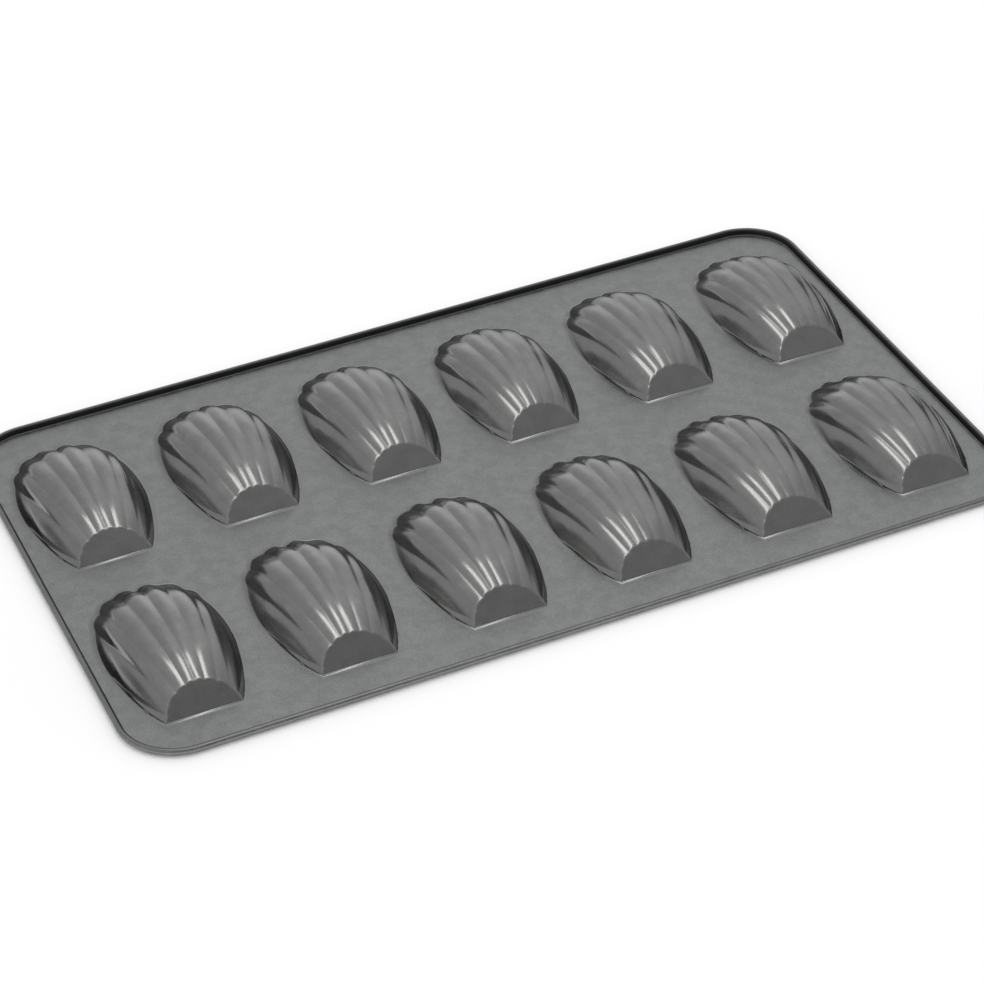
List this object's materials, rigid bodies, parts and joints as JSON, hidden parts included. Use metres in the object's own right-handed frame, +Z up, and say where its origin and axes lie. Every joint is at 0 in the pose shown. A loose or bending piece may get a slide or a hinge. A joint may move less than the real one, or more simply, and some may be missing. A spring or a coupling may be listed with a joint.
{
  "type": "madeleine pan",
  "caption": "Pressed steel baking pan with rows of fluted shell cups and a rolled rim, dark non-stick coat, stored with its cups standing up.",
  "frame": {"origin": "on the surface the pan rests on, under the middle of the pan, which lies upside down with its cups standing up", "axes": "+X along the rows of cups, +Y from the cups' straight edges towards their fluted ends, +Z up from the flat web towards the crowns of the cups"},
  "size_m": [0.3534, 0.2104, 0.0139],
  "materials": {
    "coated_web": "dark grey non-stick coat on pressed steel, softly mirror-like, with a fine spray speckle",
    "coated_cup": "the same dark grey non-stick coat, drawn over the ribs",
    "coated_rim": "the same non-stick coat, darker on the tight roll",
    "steel_wire": "bare drawn steel wire"
  },
  "bodies": {
    "root": {"web": "coated_web", "rolled_rim": "coated_rim", "rim_wire": "steel_wire", "cup_near_1": "coated_cup", "cup_near_2": "coated_cup", "cup_near_3": "coated_cup", "cup_near_4": "coated_cup", "cup_near_5": "coated_cup", "cup_near_6": "coated_cup", "cup_far_1": "coated_cup", "cup_far_2": "coated_cup", "cup_far_3": "coated_cup", "cup_far_4": "coated_cup", "cup_far_5": "coated_cup", "cup_far_6": "coated_cup"}
  },
  "joints": []
}
